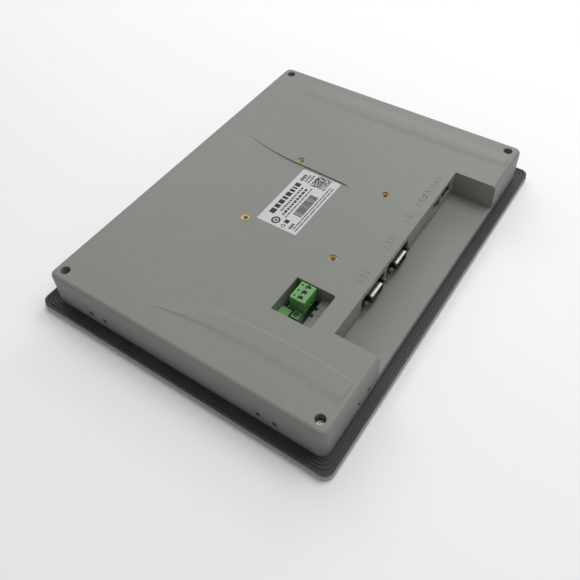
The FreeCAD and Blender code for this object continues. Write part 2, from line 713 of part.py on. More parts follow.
def make_display():
    """Touch panel, foam seal, screen cell, its steel frame and its backlight tray."""
    gap = 0.1
    touch = box("touch_sheet", (-S.touch_wide / 2, S.touch_wide / 2), (-S.touch_tall / 2, S.touch_tall / 2),
                (S.bezel_lip, S.bezel_lip + S.touch_thick))
    keep(touch, "touch_panel")
    foam_low = S.bezel_lip + S.touch_thick
    outer = block_at("foam_outer", 0, 0, foam_low, S.screen_wide - 2, S.screen_tall - 2, S.screen_level - foam_low)
    inner = block_at("foam_inner", 0, 0, foam_low - 1, S.screen_wide - 2 - 2 * S.seal_wide,
                     S.screen_tall - 2 - 2 * S.seal_wide, 3)
    keep(cut("foam_ring", outer, [inner]), "foam_seal")
    level, rim = S.screen_level, S.screen_rim
    can = block_at("can_outer", 0, 0, level, S.screen_wide, S.screen_tall, S.screen_thick)
    room = block_at("can_room", 0, 0, level + 0.5, S.screen_wide - 1, S.screen_tall - 1, S.screen_thick + 1)
    view = block_at("can_view", 0, 0, level - 1, S.screen_wide - 2 * rim, S.screen_tall - 2 * rim, 3)
    keep(cut("can_frame", can, [room, view]), "screen_frame")
    cell = block_at("cell_sheet", 0, 0, level + 0.5, S.screen_wide - 1.4, S.screen_tall - 1.4, S.cell_thick)
    keep(cell, "screen_cell")
    tray = block_at("tray_block", 0, 0, level + 0.5 + S.cell_thick + gap, S.screen_wide - 1.4, S.screen_tall - 1.4,
                    S.tray_thick)
    keep(tray, "backlight_tray")


def make_inner_plate():
    """The steel plate that carries the main board, its standoffs and the board's screws."""
    low = S.screen_level + S.screen_thick + 0.2
    high = low + S.plate_thick
    plate = box("plate_sheet", (-S.plate_wide / 2, S.plate_wide / 2), (S.plate_low, S.plate_high), (low, high))
    windows = [block_at("plate_window_%d" % i, x, 78, low - 1, 46, 18, 4) for i, x in enumerate((-60, 60))]
    keep(cut("plate_cut", plate, windows), "inner_plate")
    places = [(x, y) for x in (S.board_left + 6, as_size(-20), S.board_right - 6) for y in (-66, S.board_top - 6)]
    standoffs = [rod("standoff_%d" % i, x, y, high, S.standoff_bore, S.board_level - high)
                 for i, (x, y) in enumerate(places)]
    group("board_standoffs", standoffs)
    top = S.board_level + S.board_thick
    screws = []
    for i, (x, y) in enumerate(places):
        head = rod("board_head_%d" % i, x, y, top, 5.2, 1.6)
        shank = rod("board_shank_%d" % i, x, y, S.board_level, S.board_hole - 0.3, S.board_thick)
        slot = block_at("board_slot_%d" % i, x, y, top + 0.9, 3.0, 0.7, 2)
        screws.append(cut("board_screw_%d" % i, fuse("board_blank_%d" % i, [head, shank]), [slot]))
    group("board_screws", screws)
    edge = S.bay_wall + S.skin + S.board_gap
    board = box("board_sheet", (S.board_left, S.board_right), (edge, S.board_top), (S.board_level, top))
    holes = [rod("board_hole_%d" % i, x, y, S.board_level - 1, S.board_hole, 4) for i, (x, y) in enumerate(places)]
    keep(cut("board_cut", board, holes), "main_board")


# ---------------------------------------------------------------- serial ports

def shell_corners(x, inset):
    """The D outline of a nine-way shell, wide side up, in the upright plane."""
    lean = math.tan(math.radians(10))
    half_tall = S.shell_tall / 2 - inset
    top = S.shell_wide / 2 - inset
    bottom = top - 2 * half_tall * lean
    return [(x - bottom, S.serial_level - half_tall), (x + bottom, S.serial_level - half_tall),
            (x + top, S.serial_level + half_tall), (x - top, S.serial_level + half_tall)]


def pin_places(x):
    """Five pins over four, the standard nine-way grid."""
    step, rise = 2.77, 1.42
    upper = [(x + step * count, S.serial_level + rise) for count in (-2, -1, 0, 1, 2)]
    lower = [(x + step * count, S.serial_level - rise) for count in (-1.5, -0.5, 0.5, 1.5)]
    return upper + lower


def flange_face():
    """Where the ports' metal flanges lie: just behind the bay wall."""
    return S.bay_wall + S.skin + S.board_gap / 2


def make_serial_port(tag, x, male):
    """One nine-way port: metal shell, plastic insert, contacts and its two hexagonal jack screws."""
    face = flange_face()
    body = new_body("serial_shell_body_" + tag)
    sketch = new_sketch(body, "shell_outline_" + tag, "XZ_Plane", -face)
    outline(sketch, shell_corners(x, as_size(0)))
    outline(sketch, shell_corners(x, S.shell_skin))
    pad(body, sketch, S.shell_long)
    rounded(body, "shell_round_" + tag, S.shell_round - S.shell_skin / 2,
            lambda edge: edge.BoundBox.YLength > S.shell_long.value - 0.1)
    sketch = new_sketch(body, "flange_outline_" + tag, "XZ_Plane", -face)
    rectangle(sketch, (x - S.flange_wide / 2, x + S.flange_wide / 2),
              (S.serial_level - S.flange_tall / 2, S.serial_level + S.flange_tall / 2), 1.5)
    outline(sketch, shell_corners(x, S.shell_skin + 0.6))
    for side in (-1, 1):
        circle(sketch, x + side * S.jack_pitch / 2, S.serial_level, 2.8)
    pad(body, sketch, S.flange_thick, reverse=True)
    keep(body, "serial_shell_" + tag)

    nose_long = 1.0 if male else S.shell_long.value - 0.5
    body = new_body("serial_insert_body_" + tag)
    sketch = new_sketch(body, "nose_outline_" + tag, "XZ_Plane", -face)
    outline(sketch, shell_corners(x, S.shell_skin + 0.75))
    for px, pz in pin_places(x):
        circle(sketch, px, pz, 1.2)
    pad(body, sketch, as_size(nose_long))
    rounded(body, "nose_round_" + tag, S.shell_round - S.shell_skin,
            lambda edge: edge.BoundBox.YLength > 0.5 and abs(edge.CenterOfMass.z - S.serial_level.value) > 2.3)
    sketch = new_sketch(body, "core_outline_" + tag, "XZ_Plane", -face)
    outline(sketch, shell_corners(x, S.shell_skin + 0.75))
    for px, pz in pin_places(x):
        circle(sketch, px, pz, 1.2)
    pad(body, sketch, S.flange_thick, reverse=True)
    back = -face - S.flange_thick
    sketch = new_sketch(body, "block_outline_" + tag, "XZ_Plane", back)
    base = S.board_level + S.board_thick
    rectangle(sketch, (x - 9.6, x + 9.6), (base, S.serial_level + 5.4))
    pad(body, sketch, as_size(9), reverse=True)
    keep(body, "serial_insert_" + tag)

    contacts = []
    reach = S.shell_long - 0.8 if male else as_size(nose_long) - 0.4
    for i, (px, pz) in enumerate(pin_places(x)):
        pin_rod = rod("contact_%s_%d" % (tag, i), px, face + S.flange_thick, pz, 1.0 if male else 1.1,
                      reach + S.flange_thick, "bay")
        contacts.append(pin_rod if male else
                        cut("socket_%s_%d" % (tag, i), pin_rod,
                            [rod("socket_bore_%s_%d" % (tag, i), px, face, pz, 0.7, 8, "bay")]))
    group("serial_contacts_" + tag, contacts)

    screws = []
    for i, side in enumerate((-1, 1)):
        sx = x + side * S.jack_pitch / 2
        head = hexagon("jack_hex_%s_%d" % (tag, i), sx, face, S.serial_level, S.jack_flats, S.jack_long)
        stem = rod("jack_stem_%s_%d" % (tag, i), sx, face + 3, S.serial_level, 2.6, 3, "bay")
        bore = rod("jack_bore_%s_%d" % (tag, i), sx, face - 0.6, S.serial_level, S.jack_thread, 8, "bay")
        screws.append(cut("jack_%s_%d" % (tag, i), fuse("jack_blank_%s_%d" % (tag, i), [head, stem]), [bore]))
    group("jack_screws_" + tag, screws)


# ---------------------------------------------------------------- network, host, card, switches

def make_network_port():
    """A shielded network jack with its mouth, tab slot and eight contacts."""
    base, face = S.board_level + S.board_thick, flange_face()
    back = face + S.network_deep
    x0, x1 = S.network_x - S.network_wide / 2, S.network_x + S.network_wide / 2
    shield = box("shield_outer", (x0, x1), (face, back), (base, base + S.network_tall))
    room = box("shield_room", (x0 + 0.4, x1 - 0.4), (face - 1, back - 0.4), (base - 1, base + S.network_tall - 0.4))
    keep(cut("shield_cut", shield, [room]), "network_shield")
    core = box("jack_core", (x0 + 0.5, x1 - 0.5), (face, back - 0.5), (base, base + S.network_tall - 0.5))
    mouth_x = (S.network_x - S.network_mouth / 2, S.network_x + S.network_mouth / 2)
    mouth = box("jack_mouth", mouth_x, (face - 1, face + 11.5), (mouth_level(), mouth_level() + S.network_mouth_tall - 2))
    tab = box("jack_tab", (S.network_x - 3.2, S.network_x + 3.2), (face - 1, face + 9),
              (mouth_level() + S.network_mouth_tall - 2.1, mouth_level() + S.network_mouth_tall))
    keep(cut("jack_cut", core, [mouth, tab]), "network_jack")
    wires = [box("network_wire_%d" % i, (S.network_x + 1.02 * (i - 3.5) - 0.2, S.network_x + 1.02 * (i - 3.5) + 0.2),
                 (face + 2, face + 11.5), (mouth_level(), mouth_level() + 0.5)) for i in range(8)]
    group("network_contacts", wires)


def make_host_port():
    """A raised host socket: folded metal shell, tongue, and the plastic base that lifts it off the board."""
    base = S.board_level + S.board_thick
    front, back = S.bay_wall + 0.4, S.bay_wall + 0.4 + S.host_deep
    x0, x1 = S.host_x - S.host_wide / 2, S.host_x + S.host_wide / 2
    z0, z1 = S.host_level - S.host_tall / 2, S.host_level + S.host_tall / 2
    shell = box("host_outer", (x0, x1), (front, back), (z0, z1))
    room = box("host_room", (x0 + 0.35, x1 - 0.35), (front - 1, back - 0.4), (z0 + 0.35, z1 - 0.35))
    keep(cut("host_cut", shell, [room]), "host_shell")
    tongue = box("host_tongue_block", (x0 + 1, x1 - 1), (front + 1.2, back - 0.4), (z1 - 2.6, z1 - 0.8))
    keep(tongue, "host_tongue")
    lift = box("host_lift_block", (x0, x1), (flange_face(), back), (base, z0))
    keep(lift, "host_base")


def make_card_slot():
    """The memory-card socket: a thin metal cover over a plastic frame, open towards the bay."""
    base, face = S.board_level + S.board_thick, flange_face()
    x0, x1 = S.card_x - S.card_wide / 2 - 1.2, S.card_x + S.card_wide / 2 + 1.2
    cover = box("card_outer", (x0, x1), (face, face + S.card_deep), (base, base + S.card_tall + 0.5))
    room = box("card_room", (x0 + 1.2, x1 - 1.2), (face - 1, face + S.card_deep - 2), (base + 0.3, base + S.card_tall))
    keep(cut("card_cut", cover, [room]), "card_slot")


def make_dip_switch():
    """A two-way slide switch seen through its window, and its two levers."""
    base, face = S.board_level + S.board_thick, flange_face()
    x0, x1 = S.dip_x - S.dip_wide / 2 + 0.1, S.dip_x + S.dip_wide / 2 - 0.1
    front = face + 0.3
    case = box("dip_case", (x0, x1), (front, front + 5), (base, base + 3.4))
    slots, levers = [], []
    for i, side in enumerate((-1, 1)):
        middle = S.dip_x + side * S.dip_wide / 4
        slots.append(box("dip_slot_%d" % i, (middle - 0.75, middle + 0.75), (front - 1, front + 1.4),
                         (base + 0.4, base + 3.0)))
        lever = box("dip_lever_block_%d" % i, (middle - 0.55, middle + 0.55), (front - 1.2, front + 1.2),
                    (base + 0.6, base + 1.5))
        levers.append(lever)
    keep(cut("dip_cut", case, slots), "dip_switch")
    for i, lever in enumerate(levers):
        keep(lever, "dip_lever_%d" % (i + 1))


def make_reset_button():
    """A push switch behind its pinhole: the case and the button."""
    base, face = S.board_level + S.board_thick, flange_face()
    level = base + 1.5
    front = face + 1.2
    case = box("reset_case", (S.reset_x - 1.4, S.reset_x + 1.4), (front, front + 4), (base, base + 3))
    bore = rod("reset_case_bore", S.reset_x, front + 1.6, level, S.reset_bore + 0.4, 3, "bay")
    keep(cut("reset_cut", case, [bore]), "reset_switch")
    button = rod("reset_button_rod", S.reset_x, front + 1.0, level, S.reset_bore, 3.4, "bay")
    keep(button, "reset_button")


# ---------------------------------------------------------------- power terminal

def pole_xs():
    return [S.plug_x + count * S.pole_pitch for count in (-1, 0, 1)]


def make_power_header():
    """The board half of the power terminal: a walled socket, its end block, its nut and three pins."""
    base = S.board_level + S.board_thick
    half = S.pole_pitch * 1.5 + 0.5
    x0, x1 = S.plug_x - half, S.plug_x + half
    y0, y1 = S.plug_high - 9.6, S.plug_high + 1.6
    wall = box("header_wall", (x0, x1), (y0, y1), (base, S.header_top))
    end = box("header_end", (x0 - 10.2, x0 - 2.6), (y1 - 5.3, S.power_top - 0.4), (base, S.header_top + 2.2))
    lug = box("header_lug", (x0 - 6.2, x0), (y1 - 12.2, y1 - 6.2), (base, S.header_top + 0.6))
    foot = box("header_foot", (x0 - 10.2, x0 + 1), (y1 - 12.2, S.power_top - 0.4), (base, base + 3))
    lug_x, lug_y = x0 - 3.1, y1 - 9.2
    nut_hole = rod("header_nut_hole", lug_x, lug_y, base + 0.6, 4.4, 10)
    room = box("header_room", (x0 + 0.9, x1 - 0.9), (y0 + 0.9, y1 - 0.9), (base + 1.4, S.header_top + 1))
    body = fuse("header_blank", [wall, end, lug, foot])
    keep(cut("header_cut", body, [room, nut_hole]), "terminal_header")
    sleeve = rod("nut_sleeve", lug_x, lug_y, base + 0.6, 4.4, 2.8)
    thread = rod("nut_thread", lug_x, lug_y, base + 1.2, 2.5, 10)
    keep(cut("nut_cut", sleeve, [thread]), "flange_nut")
    pins = [block_at("header_pin_%d" % i, x, S.plug_high - 4, base + 1.4, 0.9, 0.9, 2.6)
            for i, x in enumerate(pole_xs())]
    group("header_pins", pins)


def make_power_plug():
    """The lift-out plug: three screw wells on top, three wire entries towards the ramp."""
    base = S.board_level + S.board_thick
    half = S.pole_pitch * 1.5
    x0, x1 = S.plug_x - half, S.plug_x + half
    block = box("plug_block", (x0, x1), (S.plug_low, S.plug_high), (S.plug_level, S.plug_top))
    nose = box("plug_nose", (x0 + 0.8, x1 - 0.8), (S.plug_high - 8.2, S.plug_high + 0.2), (base + 1.9, S.plug_level))
    back = box("plug_key", (x0 + 1.5, x1 - 1.5), (S.plug_high - 0.1, S.plug_high + 0.2), (base + 1.9, S.plug_level))
    tools = []
    seat = plug_seat()
    for i, x in enumerate(pole_xs()):
        tools.append(rod("plug_well_%d" % i, x, S.pole_y, seat, S.well_wide, 10))
        tools.append(rod("plug_neck_%d" % i, x, S.pole_y, seat - 1, S.turn_shank + 0.6, 2))
        tools.append(block_at("plug_cage_%d" % i, x, S.pole_y, cage_floor() - S.cage_gap,
                              S.cage_wide + 2 * S.cage_gap, S.cage_deep + 2 * S.cage_gap,
                              S.cage_tall + S.cage_travel + 2 * S.cage_gap))
        tools.append(box("plug_entry_%d" % i, (x - S.entry_wide / 2, x + S.entry_wide / 2),
                         (S.plug_low - 1, S.pole_y), (cage_floor() + 0.6, cage_floor() + 0.6 + S.entry_tall)))
        tools.append(rod("plug_probe_%d" % i, x, S.plug_high - 2.2, S.plug_top - 2, 1.5, 3))
        tools.append(block_at("plug_socket_%d" % i, x, S.plug_high - 4, base + 1, 1.7, 1.7, 4.4))
    keep(cut("plug_cut", fuse("plug_blank", [block, nose, back]), tools), "terminal_plug")


def plug_seat():
    """The step that each screw's head rests over."""
    return cage_floor() + S.cage_tall + S.cage_travel + 2 * S.cage_gap + 0.3


def cage_floor():
    return S.plug_level + 0.7


def make_terminal_poles():
    """A captive screw and a rising wire cage for each pole."""
    for i, x in enumerate(pole_xs()):
        tag = str(i + 1)
        seat = plug_seat() + 0.2
        head = rod("turn_head_" + tag, x, S.pole_y, seat, S.turn_head, 1.6)
        shank = rod("turn_shank_" + tag, x, S.pole_y, cage_floor() + S.cage_tall - 1.2, S.turn_shank,
                    seat - cage_floor() - S.cage_tall + 1.2)
        slot = block_at("turn_slot_" + tag, x, S.pole_y, seat + 0.8, 5, 0.6, 2)
        keep(cut("turn_cut_" + tag, fuse("turn_blank_" + tag, [head, shank]), [slot]), "terminal_screw_" + tag)
        cage = block_at("cage_block_" + tag, x, S.pole_y, cage_floor(), S.cage_wide, S.cage_deep, S.cage_tall)
        passage = block_at("cage_passage_" + tag, x, S.pole_y, cage_floor() + 0.5, 3.0, 6, S.cage_tall - 1.1)
        hole = rod("cage_hole_" + tag, x, S.pole_y, cage_floor() + 1, S.turn_shank + 0.3, 6)
        keep(cut("cage_cut_" + tag, cage, [passage, hole]), "wire_cage_" + tag)


# ---------------------------------------------------------------- parts on the board

def make_board_parts():
    """The larger parts soldered to the board, and the leads to the display."""
    base = S.board_level + S.board_thick
    sink_x, sink_y = 8, 2
    keep(block_at("processor_block", sink_x, sink_y, base, 27, 27, 2.2), "processor")
    plate = block_at("sink_plate", sink_x, sink_y, base + 2.2, 40, 40, 2.0)
    fins = [block_at("sink_fin_%d" % i, sink_x, sink_y + 4.5 * (i - 4), base + 4.2, 40, 1.2, 7) for i in range(9)]
    keep(fuse("sink_joined", [plate] + fins), "heat_sink")
    chips = [block_at("chip_%d" % i, x, y, base, 14, 9, 1.1)
             for i, (x, y) in enumerate(((52, 24), (52, 10), (-16, 24), (-16, 10), (62, -30)))]
    group("memory_chips", chips)
    holder = rod("holder_ring", -44, 22, base, 23, 2.6)
    cup = rod("holder_cup", -44, 22, base + 0.6, 20.4, 4)
    keep(cut("holder_cut", holder, [cup]), "cell_holder")
    keep(rod("cell_disc", -44, 22, base + 0.6, 20, 3.2), "coin_cell")
    coils = [block_at("coil_%d" % i, x, -18, base, 12, 12, 6) for i, x in enumerate((-96, -80))]
    group("power_coils", coils)
    cans = [rod("can_%d" % i, x, y, base, 8, 9) for i, (x, y) in enumerate(((-100, 0), (-89, 0), (-78, 0), (-100, 14)))]
    group("smoothing_cans", cans)
    drum = rod("drum_disc", -72, 40, base, 12, 7.5)
    drum_hole = rod("drum_hole", -72, 40, base + 6, 2, 4)
    keep(cut("drum_cut", drum, [drum_hole]), "sounder")
    sockets = [block_at("lead_socket_%d" % i, x, S.board_top - 5, base, 22, 5, 4) for i, x in enumerate((-60, 60))]
    group("lead_sockets", sockets)
    for name, x, wide in (("display_lead", -60, 18), ("touch_lead", 60, 10)):
        make_ribbon(name, x, wide)


def make_ribbon(name, x, wide):
    """A flat lead: up from the display through the plate's window, over the board's edge into its socket."""
    base = S.board_level + S.board_thick
    thick = 0.3
    low = S.screen_level + S.screen_thick
    x0, x1 = as_size(x - wide / 2), as_size(x + wide / 2)
    rise_y = S.board_top + 12
    tail = box(name + "_tail", (x0, x1), (rise_y, rise_y + 10), (low, low + thick))
    rise = box(name + "_rise", (x0, x1), (rise_y, rise_y + thick), (low, base + 2.2))
    run = box(name + "_run", (x0, x1), (S.board_top - 2.5, rise_y + thick), (base + 1.9, base + 2.2))
    keep(fuse(name + "_joined", [tail, rise, run]), name)


# ---------------------------------------------------------------- build, check and write

def check_document():
    doc.recompute()
    for item in doc.Objects:
        if "Invalid" in item.State or "Error" in item.State:
            raise ValueError("%s is %s" % (item.Name, item.State))
    for name, piece in parts.items():
        if piece.Shape.isNull() or not piece.Shape.isValid() or not piece.Shape.Solids:
            raise ValueError("%s has no sound solid" % name)


def write_parts():
    os.makedirs("parts", exist_ok=True)
    for name, piece in parts.items():
        piece.Shape.exportStep(os.path.join("parts", name + ".step"))
        bounds = piece.Shape.BoundBox
        print("%-20s %2d solids  %7.1f x %7.1f x %6.1f" % (name, len(piece.Shape.Solids), bounds.XLength,
                                                      bounds.YLength, bounds.ZLength))


make_front_bezel()
make_front_film()
make_gasket()
make_rear_housing()
make_label()
make_housing_screws()
make_arm_inserts()
make_display()
make_inner_plate()
make_serial_port("a", S.serial_a, male=False)
make_serial_port("b", S.serial_b, male=True)
make_network_port()
make_host_port()
make_card_slot()
make_dip_switch()
make_reset_button()
make_power_header()
make_power_plug()
make_terminal_poles()
make_board_parts()
check_document()
write_parts()
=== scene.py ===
# %% [markdown]
# # An operator touch panel, seen from the back
#
# The CAD parts arrive as a fixed frame in metres: the panel lies on its screen, its long side runs along X,
# and Z points out of the back. This lesson gives each part its finish, adds the small surfaces that a
# drawing leaves out, and lights the result as a studio would.

# %% Load the frame
import json
import math

import bpy
import numpy as np
from mathutils import Matrix, Vector


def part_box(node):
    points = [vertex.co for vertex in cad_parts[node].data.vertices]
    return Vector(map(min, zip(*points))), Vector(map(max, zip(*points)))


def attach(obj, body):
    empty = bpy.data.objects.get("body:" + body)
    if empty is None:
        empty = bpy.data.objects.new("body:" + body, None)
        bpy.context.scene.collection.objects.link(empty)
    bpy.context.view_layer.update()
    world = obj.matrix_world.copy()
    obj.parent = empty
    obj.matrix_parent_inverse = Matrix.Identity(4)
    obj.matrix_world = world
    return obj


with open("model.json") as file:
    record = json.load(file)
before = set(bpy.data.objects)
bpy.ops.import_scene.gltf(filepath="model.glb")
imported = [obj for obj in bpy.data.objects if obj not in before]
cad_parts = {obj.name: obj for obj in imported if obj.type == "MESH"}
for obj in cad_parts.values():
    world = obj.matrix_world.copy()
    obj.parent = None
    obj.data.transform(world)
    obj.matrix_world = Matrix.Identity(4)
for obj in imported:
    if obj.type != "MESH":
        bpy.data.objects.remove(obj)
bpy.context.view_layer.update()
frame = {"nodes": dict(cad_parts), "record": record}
MM = 0.001

# %% [markdown]
# ## Camera
#
# A camera is a place, a turn and a lens. The three rows of the turn are the directions of the view's right
# side, its top and the way back to the viewer, so they can be written straight into the camera's matrix.

# %% Place the camera
VIEW_PLACE = (-0.28182, -0.18990, 0.35847)
VIEW_RIGHT = (0.55561, -0.83103, -0.02629)
VIEW_UP = (0.65752, 0.41981, 0.62565)
LENS_MM, SENSOR_MM = 39.03, 36.0
VIEW_SHIFT = (-0.0046, 0.0002)
NEAREST_SEEN = 0.01

camera_data = bpy.data.cameras.new("studio_camera")
camera = bpy.data.objects.new("studio_camera", camera_data)
bpy.context.scene.collection.objects.link(camera)
right = np.array(VIEW_RIGHT) / np.linalg.norm(VIEW_RIGHT)
back = np.cross(right, VIEW_UP)
back /= np.linalg.norm(back)
turn = np.column_stack([right, np.cross(back, right), back])
camera.matrix_world = Matrix.Translation(VIEW_PLACE) @ Matrix(turn.tolist()).to_4x4()
camera_data.lens = LENS_MM
camera_data.sensor_width = SENSOR_MM
camera_data.shift_x, camera_data.shift_y = VIEW_SHIFT
camera_data.clip_start = NEAREST_SEEN
bpy.context.scene.camera = camera
print("camera looks down at", round(math.degrees(math.asin(back[2])), 1), "degrees")

# %% [markdown]
# ## Light
#
# A dull grey moulding shows its form through slow changes of tone. Large lamps make soft shadows, and a
# bright, even sky fills them. One big lamp hangs over the side with the ports, a weaker one behind keeps
# the far edges open, and a low one from the side grazes the rear face, so that its shallow bands show.

# %% Hang the lamps
SKY_COLOUR, SKY_STRENGTH = (250, 251, 252), 0.38
LAMPS = {
    "lamp_over": {"place": (0.45, -0.35, 1.30), "size": 0.9, "power": 9.9},
    "lamp_behind": {"place": (0.60, 0.90, 0.90), "size": 0.8, "power": 4.0},
    "lamp_side": {"place": (2.30, 0.45, 1.10), "size": 1.2, "power": 12.0},
}


def srgb(red, green, blue):
    """A screen colour from 0 to 255 as linear light: the standard curve, undone for each channel."""
    screen = np.array([red, green, blue]) / 255.0
    linear = np.where(screen <= 0.04045, screen / 12.92, ((screen + 0.055) / 1.055) ** 2.4)
    return (*[float(value) for value in linear], 1.0)


def add_lamp(name, place, size, power):
    """A square lamp at place. It shines along its own -Z, and the turn points that at the frame's origin."""
    lamp = bpy.data.lights.new(name, "AREA")
    lamp.size, lamp.energy = size, power
    obj = bpy.data.objects.new(name, lamp)
    obj.location = place
    obj.rotation_mode = "QUATERNION"
    obj.rotation_quaternion = Vector(place).to_track_quat("Z", "Y")
    bpy.context.scene.collection.objects.link(obj)


world = bpy.data.worlds.new("studio_sky")
world.use_nodes = True
background = world.node_tree.nodes["Background"]
background.inputs["Color"].default_value = srgb(*SKY_COLOUR)
background.inputs["Strength"].default_value = SKY_STRENGTH
bpy.context.scene.world = world
bpy.context.scene.view_settings.view_transform = "Standard"
for lamp_name, settings in LAMPS.items():
    add_lamp(lamp_name, **settings)
print("a sky and", len(LAMPS), "lamps")

# %% [markdown]
# ## A way to write a finish
#
# A finish is a small net of nodes that ends in one shader. Real surfaces are never even: their colour
# drifts over centimetres, their gloss changes from handling, and a fine grain breaks up the light. The
# helper below writes these three things for any part, in object coordinates, so that patterns keep their
# real size in metres.

# %% The helper for finishes
MIX_SHARE, MIX_FIRST, MIX_SECOND, MIX_RESULT = 0, 6, 7, 2  # a Mix node's sockets for share and colours
BEVEL_SAMPLES = 4
RIM_FLAT, RIM_SHARP = 0.99, 0.80  # the cosine between a face's own normal and its rounded one


class Finish:
    """A material being made: the shader, and short calls that add the nodes that feed it."""

    def __init__(self, name, **sockets):
        self.material = bpy.data.materials.new(name)
        self.material.use_nodes = True
        self.tree = self.material.node_tree
        self.shader = next(node for node in self.tree.nodes if node.type == "BSDF_PRINCIPLED")
        self.spot = self.node("ShaderNodeTexCoord").outputs["Object"]
        for label, value in sockets.items():
            self.give(label.replace("_", " "), value)

    def give(self, label, value):
        """Sets one socket of the shader, or links a node's output to it."""
        self.feed(self.shader.inputs[label], value)

    def feed(self, socket, value):
        """Links a node's output to the socket, or sets the socket to a plain value."""
        if isinstance(value, bpy.types.NodeSocket):
            self.tree.links.new(value, socket)
        else:
            socket.default_value = value

    def node(self, kind, inputs=None, **settings):
        """A new node with its settings and inputs."""
        made = self.tree.nodes.new(kind)
        for label, value in settings.items():
            setattr(made, label, value)
        for label, value in (inputs or {}).items():
            self.feed(made.inputs[label], value)
        return made

    def stretched(self, scale):
        """The object's coordinates, scaled along each axis: a low number draws the pattern out."""
        return self.node("ShaderNodeMapping", {"Vector": self.spot, "Scale": scale}).outputs["Vector"]

    def noise(self, size, detail=3.0, stretch=None):
        """Soft noise from 0 to 1 whose lumps measure about size in metres."""
        spot = self.spot if stretch is None else self.stretched(stretch)
        inputs = {"Vector": spot, "Scale": 1.0 / size, "Detail": detail}
        return self.node("ShaderNodeTexNoise", inputs).outputs["Fac"]

    def cells(self, size):
        """The distance to the middle of rounded cells that measure about size in metres."""
        inputs = {"Vector": self.spot, "Scale": 1.0 / size}
        return self.node("ShaderNodeTexVoronoi", inputs).outputs["Distance"]

    def span(self, value, low, high, to_low=0.0, to_high=1.0):
        """Carries the range low to high over to another range, and stops at its ends."""
        inputs = {"Value": value, "From Min": low, "From Max": high, "To Min": to_low, "To Max": to_high}
        return self.node("ShaderNodeMapRange", inputs).outputs["Result"]

    def sums(self, kind, first, second):
        """Two values added or multiplied, as kind says."""
        made = self.node("ShaderNodeMath", operation=kind)
        self.feed(made.inputs[0], first)
        self.feed(made.inputs[1], second)
        return made.outputs[0]

    def mix(self, share, first, second):
        """The first colour where share is 0, and the second where it is 1."""
        made = self.node("ShaderNodeMix", data_type="RGBA")
        for place, value in ((MIX_SHARE, share), (MIX_FIRST, first), (MIX_SECOND, second)):
            self.feed(made.inputs[place], value)
        return made.outputs[MIX_RESULT]

    def rounded(self, radius):
        """The normal as it would be with every edge rounded by radius."""
        return self.node("ShaderNodeBevel", {"Radius": radius}, samples=BEVEL_SAMPLES).outputs["Normal"]

    def rim(self, radius):
        """About 1 close to sharp edges and 0 on flats: how far the rounded normal turns away."""
        soft = self.rounded(radius)
        true = self.node("ShaderNodeNewGeometry").outputs["Normal"]
        facing = self.node("ShaderNodeVectorMath", operation="DOT_PRODUCT")
        self.feed(facing.inputs[0], soft)
        self.feed(facing.inputs[1], true)
        return self.span(facing.outputs["Value"], RIM_FLAT, RIM_SHARP)

    def relief(self, height, depth, rounding=None):
        """Bumps of that depth in metres, on edges that look rounded by rounding metres."""
        inputs = {"Height": height, "Distance": depth, "Strength": 1.0}
        if rounding:
            inputs["Normal"] = self.rounded(rounding)
        self.give("Normal", self.node("ShaderNodeBump", inputs).outputs["Normal"])


def lighter(colour, factor):
    """The colour with its three channels times factor."""
    return (*[min(1.0, channel * factor) for channel in colour[:3]], 1.0)


print("finish helper ready")

# %% [markdown]
# ## Moulded plastics
#
# Injection-moulded plastic copies its tool, and the tool of an instrument housing is spark-eroded: a fine,
# even grain of shallow craters. Noise and small cells together look like it. Edges polish first, so the rim
# mask makes them a little lighter, and a slow noise varies the gloss from place to place, as handling does.

# %% Plastics


def moulded(name, colour, rough, grain, depth, drift, rounding, wear):
    """Plastic with drifting tone, a spark grain of that size and depth, and lighter edges."""
    make = Finish(name, Roughness=rough)
    broad = make.noise(0.06, 4.0)
    fine = make.noise(0.004, 5.0)
    tone = make.sums("ADD", make.span(broad, 0.3, 0.7, 0.0, 0.6), make.span(fine, 0.3, 0.7, 0.0, 0.4))
    body = make.mix(tone, lighter(colour, 1 - drift), lighter(colour, 1 + drift))
    specks = make.span(make.cells(grain * 6), 0.02, 0.10)
    body = make.mix(specks, lighter(colour, 0.90), body)
    make.give("Base Color", make.mix(make.rim(rounding * 2), body, lighter(colour, wear)))
    handled = make.span(make.noise(0.03, 6.0), 0.35, 0.7, rough - 0.025, rough + 0.03)
    make.give("Roughness", handled)
    craters = make.sums("ADD", make.noise(grain, 2.0), make.span(make.cells(grain * 1.6), 0.0, 0.6))
    make.relief(craters, depth, rounding)
    return make


def glossy(name, colour, rough, **extra):
    """Smooth plastic: faint waves from the mould, dust in the gloss, and hardly any grain."""
    make = Finish(name, Roughness=rough, **extra)
    drift = make.span(make.noise(0.02, 3.0), 0.3, 0.7)
    make.give("Base Color", make.mix(drift, lighter(colour, 0.92), lighter(colour, 1.08)))
    make.give("Roughness", make.span(make.noise(0.006, 6.0), 0.4, 0.75, rough, rough + 0.10))
    make.relief(make.noise(0.0015, 2.0), 0.000004, 0.0001)
    return make


